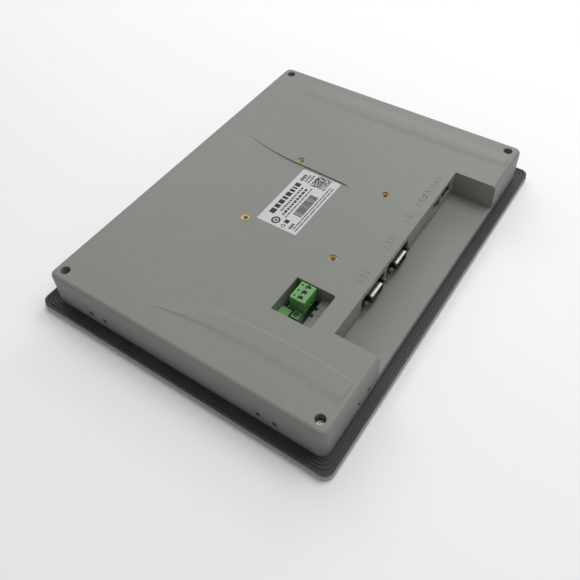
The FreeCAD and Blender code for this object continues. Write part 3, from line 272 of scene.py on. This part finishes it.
# colour, roughness, grain size and depth in metres, drift of tone, edge rounding in metres, lighter edges
PLASTICS = {
    "housing_grey": (srgb(127, 129, 123), 0.52, 0.0005, 0.00003, 0.035, 0.0004, 1.12),
    "frame_grey": (srgb(144, 147, 146), 0.42, 0.0004, 0.00001, 0.03, 0.0004, 1.12),
    "terminal_green": (srgb(100, 156, 92), 0.38, 0.0003, 0.000012, 0.07, 0.00015, 1.3),
    "black_plastic": (srgb(34, 35, 37), 0.45, 0.0003, 0.00001, 0.10, 0.00012, 1.5),
    "white_plastic": (srgb(214, 214, 206), 0.40, 0.0003, 0.000006, 0.03, 0.0001, 1.05),
    "chip_black": (srgb(42, 42, 44), 0.6, 0.0002, 0.00001, 0.08, 0.0001, 1.3),
}
finishes = {name: moulded(name, *settings) for name, settings in PLASTICS.items()}
finishes["lens_clear"] = glossy("lens_clear", srgb(196, 204, 190), 0.12, Transmission_Weight=0.35)
finishes["screen_dark"] = glossy("screen_dark", srgb(20, 22, 26), 0.10)
print(len(finishes), "plastics")

# %% [markdown]
# ## Rubber and foam
#
# The seal is extruded rubber. It keeps fine lengthwise lines from the die, picks up pale dust, and has no
# sharp highlights. Foam is the same with open pores.

# %% Rubber and foam
rubber = Finish("seal_rubber", Roughness=0.62)
dust = rubber.span(rubber.noise(0.010, 8.0), 0.50, 0.78)
rubber.give("Base Color", rubber.mix(dust, srgb(42, 46, 49), srgb(66, 70, 72)))
rubber.give("Roughness", rubber.span(dust, 0.0, 1.0, 0.55, 0.78))
rubber.relief(rubber.sums("ADD", rubber.noise(0.0005, 3.0), rubber.noise(0.005, 2.0)), 0.00003, 0.0002)
foam = Finish("foam_black", Roughness=0.9)
pores = foam.span(foam.cells(0.0009), 0.05, 0.45)
foam.give("Base Color", foam.mix(pores, srgb(16, 16, 17), srgb(48, 48, 50)))
foam.relief(pores, 0.0002)
finishes["seal_rubber"], finishes["foam_black"] = rubber, foam
print("rubber and foam made")

# %% [markdown]
# ## Metals
#
# Bright plate on stamped sheet shows faint drawing lines and cloudy patches, zinc plate is duller and
# mottled, and turned brass has rings and brown stains. Stretching one noise along an axis gives the lines,
# a broad noise gives the clouds, and the rim mask brightens the edges that plugs and tools have rubbed.

# %% Metals


def metal(name, colour, rough, lines, stain, scratch):
    """Bare or plated metal: lines drawn out along the axis with the low number, stains and edges lightened by
    wear.
    """
    make = Finish(name, Metallic=1.0)
    clouds = make.span(make.noise(0.004, 6.0), 0.42, 0.72)
    drawn = make.noise(0.0012, 4.0, lines)
    body = make.mix(clouds, colour, lighter(colour, stain))
    body = make.mix(make.span(drawn, 0.4, 0.7, 0.0, 0.18), body, lighter(colour, 1.2))
    make.give("Base Color", make.mix(make.rim(0.0002), body, lighter(colour, 1.3)))
    dulled = make.span(clouds, 0.0, 1.0, rough, rough + 0.16)
    ripple = make.span(drawn, 0.3, 0.7, -0.04, 0.04)
    make.give("Roughness", make.sums("ADD", dulled, ripple))
    make.relief(drawn, scratch, 0.00012)
    return make


# colour, roughness, how tight the lines lie along each axis, tone of the stains, depth of the lines in metres
METALS = {
    "plated_steel": (srgb(176, 175, 166), 0.20, (1.0, 1.0, 12.0), 0.85, 0.000002),
    "screw_steel": (srgb(226, 227, 226), 0.24, (8.0, 8.0, 1.0), 0.85, 0.000002),
    "sheet_steel": (srgb(186, 188, 190), 0.32, (1.0, 14.0, 1.0), 0.85, 0.000002),
    "brass_insert": (srgb(202, 176, 120), 0.34, (3.0, 3.0, 9.0), 0.75, 0.000004),
    "gold_contact": (srgb(226, 186, 104), 0.18, (6.0, 1.0, 6.0), 0.80, 0.000002),
    "can_metal": (srgb(200, 201, 204), 0.30, (1.0, 1.0, 10.0), 0.85, 0.000002),
    "sink_black": (srgb(58, 59, 62), 0.42, (10.0, 1.0, 1.0), 0.80, 0.000002),
}
for metal_name, settings in METALS.items():
    finishes[metal_name] = metal(metal_name, *settings)
print(len(finishes), "finishes so far")

# %% [markdown]
# A serial port's metal shell is one stamping. Its colour holds painted light: a painted shade darkens the
# flange behind the wall's opening and the nose's sides and lower half, and a painted highlight lightens the
# outer part of the nose's upper side. The finish follows the depth in the wall, which is the Y coordinate,
# and how far a face turns up. The hexagonal screws beside it are zinc-plated and darker.

# %% The port shells
# Along Y: the flange behind this line gets a painted shade, and the nose in front of it a painted highlight;
# the same blend softens the edge along Z.
PAINTED_SHADE_LINE, PAINTED_LIGHT_BLEND = -80.9 * MM, 0.6 * MM  # along Y
PORT_MIDDLE = 23.0 * MM  # up Z
SLOPING, FACING_UP = 0.5, 0.9  # the upward part of a face's normal
port_shell = metal("port_shell", srgb(224, 224, 218), 0.22, (1.0, 1.0, 12.0), 0.85, 0.000001)
spot = port_shell.node("ShaderNodeSeparateXYZ", {"Vector": port_shell.spot})
outer = port_shell.span(spot.outputs["Y"], PAINTED_SHADE_LINE - PAINTED_LIGHT_BLEND, PAINTED_SHADE_LINE, 1.0, 0.0)
upper = port_shell.span(spot.outputs["Z"], PORT_MIDDLE, PORT_MIDDLE + PAINTED_LIGHT_BLEND)
facing = port_shell.node("ShaderNodeNewGeometry").outputs["Normal"]
rise = port_shell.node("ShaderNodeSeparateXYZ", {"Vector": facing}).outputs["Z"]
upward = port_shell.span(rise, SLOPING, FACING_UP)
# The painted highlight's share: 1 on the outer, upper, upward faces of the nose, and 0 elsewhere, where the
# painted shade goes.
painted_highlight_share = port_shell.sums("MULTIPLY", port_shell.sums("MULTIPLY", outer, upper), upward)
bright = port_shell.shader.inputs["Base Color"].links[0].from_socket
# The dark colour is painted shade for the flange and the nose's other faces; the bright metal is a painted
# highlight.
port_shell.give("Base Color", port_shell.mix(painted_highlight_share, srgb(84, 84, 79), bright))
port_shell.give("Roughness", port_shell.span(painted_highlight_share, 0.0, 1.0, 0.38, 0.50))
jack_zinc = metal("jack_zinc", srgb(120, 119, 113), 0.20, (1.0, 8.0, 1.0), 0.85, 0.000001)
print("shells are bright on the outer side of y =", round(PAINTED_SHADE_LINE / MM, 1), "mm")

# %% [markdown]
# ## Films, board and label
#
# The front film is printed polyester with a fine pearl texture, the touch sheet is a hard smooth coat over
# a dark screen, and the board has a green mask over copper tracks. The label is silvered film with a faint
# weave.

# %% Films, board and label


def film(name, colour, rough, grain, depth, **extra):
    """A printed film: small even pearls, a slow change of tone and a few smears in the gloss."""
    make = Finish(name, **extra)
    tone = make.span(make.noise(0.05, 3.0), 0.35, 0.65)
    pearls = make.span(make.cells(grain), 0.0, 0.55)
    body = make.mix(tone, lighter(colour, 0.95), lighter(colour, 1.05))
    make.give("Base Color", make.mix(make.sums("MULTIPLY", pearls, 0.35), body, lighter(colour, 1.12)))
    make.give("Roughness", make.span(make.noise(0.012, 7.0), 0.45, 0.75, rough, rough + 0.14))
    make.relief(pearls, depth, 0.0001)
    return make


TRACKS_PER_METRE = 260.0


def tracked_board():
    """Green mask over copper: square cells with random tones read as tracks, and small rings as vias."""
    make = Finish("board_green", Coat_Weight=0.4)
    inputs = {"Vector": make.spot, "Scale": TRACKS_PER_METRE}
    squares = make.node("ShaderNodeTexVoronoi", inputs, distance="CHEBYCHEV")
    tracks = make.span(squares.outputs["Distance"], 0.30, 0.36)
    vias = make.span(make.cells(0.0042), 0.07, 0.05)
    # The greens are the mask's own colour, darkened by painted shade, because the board shows only in a
    # shadowed gap beside the ports.
    body = make.mix(tracks, srgb(10, 44, 30), srgb(16, 60, 40))
    make.give("Base Color", make.mix(vias, body, srgb(120, 104, 62)))
    make.give("Roughness", make.span(make.noise(0.008, 4.0), 0.3, 0.7, 0.28, 0.42))
    make.relief(make.sums("ADD", tracks, vias), 0.00003)
    return make


finishes["front_print"] = film("front_print", srgb(60, 63, 68), 0.36, 0.0005, 0.000012)
finishes["touch_glass"] = film("touch_glass", srgb(26, 28, 32), 0.09, 0.0030, 0.0000005, Coat_Weight=0.6)
finishes["label_film"] = film("label_film", srgb(190, 193, 191), 0.34, 0.0006, 0.000005)
finishes["lead_film"] = film("lead_film", srgb(186, 140, 66), 0.25, 0.0010, 0.000004)
finishes["board_green"] = tracked_board()
OWN_FINISHES = {"serial_shell": port_shell, "jack_screws": jack_zinc}
for item in frame["record"]["subparts"]:
    node = frame["nodes"][item["node"]]
    finish = finishes[item["material_slot"]]
    for start, own_finish in OWN_FINISHES.items():
        if item["node"].startswith(start):
            finish = own_finish
    node.data.materials.clear()
    node.data.materials.append(finish.material)
print("finished", len(frame["nodes"]), "nodes with", len(finishes) + len(OWN_FINISHES), "finishes")

# %% [markdown]
# ## The floor
#
# A plain pale sheet under the panel catches its shadow. It is a single wide surface, faintly uneven in
# tone.

# %% Lay the floor


def solid(name, points, faces, material, body="panel"):
    """A mesh object from points and faces, with its finish, on its body; None leaves it in the studio."""
    mesh = bpy.data.meshes.new(name)
    mesh.from_pydata(np.asarray(points, float).tolist(), [], [list(face) for face in faces])
    mesh.materials.append(material)
    mesh.update()
    obj = bpy.data.objects.new(name, mesh)
    bpy.context.scene.collection.objects.link(obj)
    if body:
        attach(obj, body)
    print(name, len(mesh.polygons), "faces")
    return obj


def surface(name, points, material, body):
    """A mesh from a grid of points, rows by columns by 3: each four neighbours make a face."""
    rows, columns = points.shape[:2]
    row, column = np.meshgrid(np.arange(rows - 1), np.arange(columns - 1), indexing="ij")
    first = row * columns + column
    faces = np.stack([first, first + 1, first + columns + 1, first + columns], axis=-1)
    return solid(name, points.reshape(-1, 3), faces.reshape(-1, 4), material, body)


FLOOR_REACH = 4.0
paper = Finish("floor_paper", Roughness=0.8)
paper.give("Base Color", paper.mix(paper.noise(0.6, 3.0), srgb(246, 246, 246), srgb(250, 250, 250)))
reach = np.linspace(-FLOOR_REACH, FLOOR_REACH, 3)
floor_x, floor_y = np.meshgrid(reach, reach)
floor = surface("floor", np.dstack([floor_x, floor_y, 0 * floor_x]), paper.material, body=None)

# %% [markdown]
# ## Flat blocks and rings
#
# Print and moulded marks are made of two shapes, a flat block and a flat ring. Each comes as points and
# faces that close, so that many can be joined into one mesh before Blender sees it.

# %% Helpers for flat blocks and rings
BOX_FACES = np.array([[3, 2, 1, 0], [4, 5, 6, 7], [0, 1, 5, 4], [1, 2, 6, 5], [2, 3, 7, 6], [3, 0, 4, 7]])


def outward(points, faces):
    """The faces, turned round if the closed shape they make has a negative volume.

    The volume is the sum over the faces of corner one times the cross products of the corners that follow it.
    """
    points = np.asarray(points, float)
    first, second, third = (points[[face[k] for face in faces]] for k in (0, 1, 2))
    last = points[[face[-1] for face in faces]]
    volume = np.einsum("ij,ij->", first, np.cross(second, third) + np.cross(third, last))
    return faces if volume > 0 else [list(face)[::-1] for face in faces]


def blocks(areas, low, high):
    """Points and faces of closed blocks that stand between two heights; each row of areas is x0, y0, x1, y1.

    A block's eight corners are its x, y and z limits in every mix, taken for all rows at once.
    """
    areas = np.asarray(areas, float)
    x = areas[:, [0, 2, 2, 0, 0, 2, 2, 0]]
    y = areas[:, [1, 1, 3, 3, 1, 1, 3, 3]]
    z = np.broadcast_to(np.repeat([low, high], 4), x.shape)
    points = np.stack([x, y, z], axis=-1).reshape(-1, 3)
    faces = (BOX_FACES[None] + 8 * np.arange(len(areas))[:, None, None]).reshape(-1, 4)
    return points, faces.tolist()


def ring(centre, inner, outer, low, high, steps=40):
    """Points and faces of a flat ring: a four-cornered profile of radius and height, turned about centre."""
    angle = np.linspace(0, 2 * np.pi, steps, endpoint=False)[:, None]
    radius, height = np.array([inner, outer, outer, inner]), np.array([low, low, high, high])
    points = np.dstack([centre[0] + radius * np.cos(angle), centre[1] + radius * np.sin(angle),
                        np.broadcast_to(height, (steps, 4))]).reshape(-1, 3)
    row, corner = np.meshgrid(np.arange(steps), np.arange(4), indexing="ij")
    row2, corner2 = (row + 1) % steps, (corner + 1) % 4
    faces = np.stack([row * 4 + corner, row2 * 4 + corner, row2 * 4 + corner2, row * 4 + corner2], axis=-1)
    return points, outward(points, faces.reshape(-1, 4).tolist())


def together(parts):
    """Several points-and-faces pairs as one."""
    points, faces, start = [], [], 0
    for some_points, some_faces in parts:
        points.append(some_points)
        faces += [[index + start for index in face] for face in some_faces]
        start += len(some_points)
    return np.concatenate(points), faces


print("a block has", len(BOX_FACES), "faces")

# %% [markdown]
# ## Print on the label
#
# The label is a smooth film with black print. The print could be painted in the finish, but thin blocks of
# ink keep crisp edges from close by and are easy to lay out from a table: rows of u to the right and v
# down, in millimetres. None of it says anything: the rows are plain dashes, and a seeded generator draws
# the stripes and cells.

# %% Lay out the print
PRINT_SEED = 121
FILLED_SHARE = 0.58
chance = np.random.default_rng(PRINT_SEED)


def dashes(start, stop, top, tall, shortest, longest, gap):
    """Rows of u0, v0, u1, v1: marks of uneven length from start to stop, with equal gaps."""
    lengths = chance.uniform(shortest, longest, int((stop - start) / shortest) + 2)
    ends = start + np.cumsum(lengths + gap) - gap
    begins = ends - lengths
    keep = ends < stop
    return np.column_stack([begins, np.full(len(ends), top), ends, np.full(len(ends), top + tall)])[keep]


def cell_patch(left, top, side, count):
    """A square patch of cells, rather more than half of them filled at random."""
    row, column = np.nonzero(chance.random((count, count)) < FILLED_SHARE)
    step = side / count
    u, v = left + column * step, top + row * step
    return np.column_stack([u, v, u + step, v + step])


BOLD_WIDTHS = np.array([5.2, 3.8, 4.4, 2.6, 4.4, 2.6, 1.6, 4.0])
BOLD_LEFT, BOLD_TOP, BOLD_BOTTOM, BOLD_GAP = 10.0, 3.7, 8.2, 1.3
# start, stop, top, height, shortest mark, longest mark, gap
DASH_ROWS = (
    (15.5, 46.0, 10.3, 1.5, 0.9, 2.2, 0.7),
    (12.5, 47.0, 13.6, 1.9, 1.2, 3.4, 0.8),
    (11.0, 49.0, 17.3, 0.9, 1.5, 5.0, 0.6),
    (17.2, 42.4, 20.2, 7.2, 0.3, 1.3, 0.36),
    (4.0, 58.0, 28.9, 0.8, 2.0, 7.0, 0.6),
    (3.0, 61.0, 31.2, 0.8, 3.0, 9.0, 0.6),
    (51.0, 60.0, 4.0, 2.8, 1.0, 2.2, 0.5),
    (51.5, 61.0, 8.0, 1.5, 0.8, 2.2, 0.5),
    (51.5, 61.0, 10.8, 1.3, 0.8, 2.2, 0.5),
    (3.2, 10.2, 25.4, 2.3, 0.6, 1.2, 0.3),
)
PATCH_LEFT, PATCH_TOP, PATCH_SIDE, PATCH_CELLS = 50.2, 13.9, 12.6, 21
FILLED_SQUARE = (6.6, 19.2, 10.2, 22.8)
RINGS = ((5.6, 13.2, 2.1, 3.5), (5.6, 13.2, 0.3, 1.2), (3.4, 21.0, 1.1, 1.7))  # u, v, inner and outer radius
INK_SUNK, INK_PROUD = 0.03 * MM, 0.015 * MM

bold_ends = BOLD_LEFT + np.cumsum(BOLD_WIDTHS + BOLD_GAP) - BOLD_GAP
bold_top, bold_bottom = np.full_like(bold_ends, BOLD_TOP), np.full_like(bold_ends, BOLD_BOTTOM)
rows = np.concatenate([
    np.column_stack([bold_ends - BOLD_WIDTHS, bold_top, bold_ends, bold_bottom]),
    *[dashes(*row) for row in DASH_ROWS],
    cell_patch(PATCH_LEFT, PATCH_TOP, PATCH_SIDE, PATCH_CELLS),
    [FILLED_SQUARE],
])
label_low, label_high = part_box("rating_label")
flat = np.column_stack([label_low[0] + rows[:, 0] * MM, label_high[1] - rows[:, 3] * MM,
                        label_low[0] + rows[:, 2] * MM, label_high[1] - rows[:, 1] * MM])
INK_LOW, INK_HIGH = label_high[2] - INK_SUNK, label_high[2] + INK_PROUD
rings = [ring((label_low[0] + u * MM, label_high[1] - v * MM), inner * MM, outer * MM, INK_LOW, INK_HIGH)
         for u, v, inner, outer in RINGS]
ink = Finish("print_ink", Roughness=0.62)
ink.give("Base Color", ink.mix(ink.span(ink.noise(0.0006, 4.0), 0.35, 0.75), srgb(7, 7, 8), srgb(26, 26, 28)))
points, faces = together([blocks(flat, INK_LOW, INK_HIGH), *rings])
label_print = solid("label_print", points, faces, ink.material)

# %% [markdown]
# ## Numerals at the ports
#
# Each port has a small raised mark above it, between two pairs of dashes. The tool maker cuts them into the
# mould, so they are the same plastic as the wall and stand a fifth of a millimetre proud. A font gives the
# numerals: its outline is filled and given a thickness, then the mesh is moved to its place.

# %% Port numerals
PORT_PLACES = (-34.2, 2.0, 32.5, 52.0, 64.0, 77.0)
MARK_LINE, MARK_RISE, MARK_SUNK, NUMERAL_TALL = -71.6, 0.2, 0.2, 7.2
DASH_OUT, DASH_APART, DASH_HALF_LONG, DASH_HALF_WIDE = 5.0, 1.3, 1.6, 0.4
ROOF = 34.0


def numeral(text, size, x, y, z, rise):
    """Points and faces of a flat numeral centred on x and y that reaches rise above z and rise below it."""
    curve = bpy.data.curves.new("numeral_outline", "FONT")
    curve.body, curve.size, curve.extrude = text, size, rise
    curve.align_x, curve.align_y, curve.resolution_u = "CENTER", "CENTER", 3
    holder = bpy.data.objects.new("numeral_outline", curve)
    bpy.context.scene.collection.objects.link(holder)
    shape = holder.evaluated_get(bpy.context.evaluated_depsgraph_get()).to_mesh()
    points = np.empty(len(shape.vertices) * 3)
    shape.vertices.foreach_get("co", points)
    faces = [list(face.vertices) for face in shape.polygons]
    bpy.data.objects.remove(holder)
    return points.reshape(-1, 3) + (x, y, z), faces


middles = np.array([(x + side * DASH_OUT, MARK_LINE + row * DASH_APART)
                    for x in PORT_PLACES for side in (-1, 1) for row in (-1, 1)])
half_dash = np.array([DASH_HALF_LONG, DASH_HALF_WIDE])
side_dashes = np.hstack([middles - half_dash, middles + half_dash])
parts = [numeral(str(count + 1), NUMERAL_TALL * MM, x * MM, MARK_LINE * MM, ROOF * MM, MARK_RISE * MM)
         for count, x in enumerate(PORT_PLACES)]
parts.append(blocks(side_dashes * MM, (ROOF - MARK_SUNK) * MM, (ROOF + MARK_RISE) * MM))
housing_plastic = finishes["housing_grey"].material
port_marks = solid("port_marks", *together(parts), housing_plastic)

# %% [markdown]
# ## Marks at the poles
#
# The sloping shelf under the wires names the three poles: a plus, a minus and an earth sign. They are drawn
# flat in u and v and then laid on the slope: v runs to the shelf's far edge, and w stands straight out
# of it.

# %% Pole marks
SHELF_NEAR, SHELF_FAR = np.array([-54.5, 23.0]), np.array([-65.0, 26.5])  # Y and Z of the shelf's two edges
POLE_SUNK, POLE_RISE = 0.15, 0.45
PLUS = [[-74.3, -0.4, -70.9, 0.4], [-73.0, -1.8, -72.2, -0.4], [-73.0, 0.4, -72.2, 1.8]]
MINUS = [[-69.0, -0.4, -65.8, 0.4]]
EARTH = [[-64.0, -1.7, -60.6, -1.0], [-63.4, -0.4, -61.2, 0.3], [-62.8, 0.9, -61.8, 1.6]]

along = (SHELF_FAR - SHELF_NEAR) / np.linalg.norm(SHELF_FAR - SHELF_NEAR)
points, faces = blocks(np.array(PLUS + MINUS + EARTH) * MM, -POLE_SUNK * MM, POLE_RISE * MM)
middle = (SHELF_NEAR + SHELF_FAR) / 2 * MM
u, v, w = points.T
points = np.column_stack([u, middle[0] + v * along[0] + w * along[1],
                          middle[1] + v * along[1] - w * along[0]])
pole_marks = solid("pole_marks", points, outward(points, faces), housing_plastic)

# %% [markdown]
# ## Threads
#
# The arm inserts and the jack screws are tapped. A thread is one ridge of triangular section that climbs
# along a helix: the angle grows evenly, the height grows with it by one pitch a turn, and the two ends are
# closed by a triangle. The drawing's plain bores stay, and the ridge stands in from them.

# %% Cut the threads
STEPS_PER_TURN = 20
ROOT_SUNK = 0.06 * MM
RIDGE_HALF = 0.42  # of a pitch
FUNNEL = 0.5 * MM  # the cone at an insert's mouth, which has no thread
INSERT_THREAD = {"bore": 1.7 * MM, "depth": 0.28 * MM, "pitch": 0.7 * MM, "length": 6.0 * MM}
JACK_THREAD = {"bore": 1.2 * MM, "depth": 0.2 * MM, "pitch": 0.635 * MM, "length": 4.0 * MM}


def thread(centre, bore, depth, pitch, length, along_y=False):
    """Points and faces of a thread's ridge that runs for length into a bore; its mouth is at centre.

    Three profile points (root, crest, root) are turned by t and lowered by pitch times t over a full turn.
    The bore is a radius, and depth is the ridge's height above it.
    """
    t = np.linspace(0, 2 * np.pi * length / pitch, int(STEPS_PER_TURN * length / pitch))[:, None]
    radius = np.array([bore + ROOT_SUNK, bore - depth, bore + ROOT_SUNK])
    offset = np.array([-RIDGE_HALF, 0.0, RIDGE_HALF]) * pitch
    x, y = radius * np.cos(t), radius * np.sin(t)
    z = offset - pitch * t / (2 * np.pi) - 0.5 * pitch
    axes = [x, -z, y] if along_y else [x, y, z]
    points = (np.dstack(axes) + np.array(centre)).reshape(-1, 3)
    row, corner = np.meshgrid(np.arange(len(t) - 1), np.arange(3), indexing="ij")
    corner2 = (corner + 1) % 3
    row2 = row + 1
    faces = np.stack([row * 3 + corner, row * 3 + corner2, row2 * 3 + corner2, row2 * 3 + corner], axis=-1)
    last = 3 * len(t)
    ends = [[2, 1, 0], [last - 3, last - 2, last - 1]]
    return points, outward(points, faces.reshape(-1, 4).tolist() + ends)


def mount_named(name):
    """The record's mount of that name."""
    return next(mount for mount in frame["record"]["mounts"] if mount["name"] == name)


arm_mount = mount_named("arm_75")
arm_x, arm_y, arm_z = arm_mount["pos_m"]
half = arm_mount["dims"]["spacing_x_mm"] / 2 * MM
inserts = [thread((arm_x + i * half, arm_y + j * half, arm_z - FUNNEL), **INSERT_THREAD)
           for i in (-1, 1) for j in (-1, 1)]
insert_threads = solid("insert_threads", *together(inserts), finishes["brass_insert"].material)
for port in ("a", "b"):
    mount = mount_named(f"serial_{port}_screws")
    x, y, z = mount["pos_m"]
    reach = mount["dims"]["spacing_x_mm"] / 2 * MM
    ridges = [thread((x + side * reach, y, z), **JACK_THREAD, along_y=True) for side in (-1, 1)]
    jack_threads = solid(f"jack_threads_{port}", *together(ridges), finishes["plated_steel"].material)
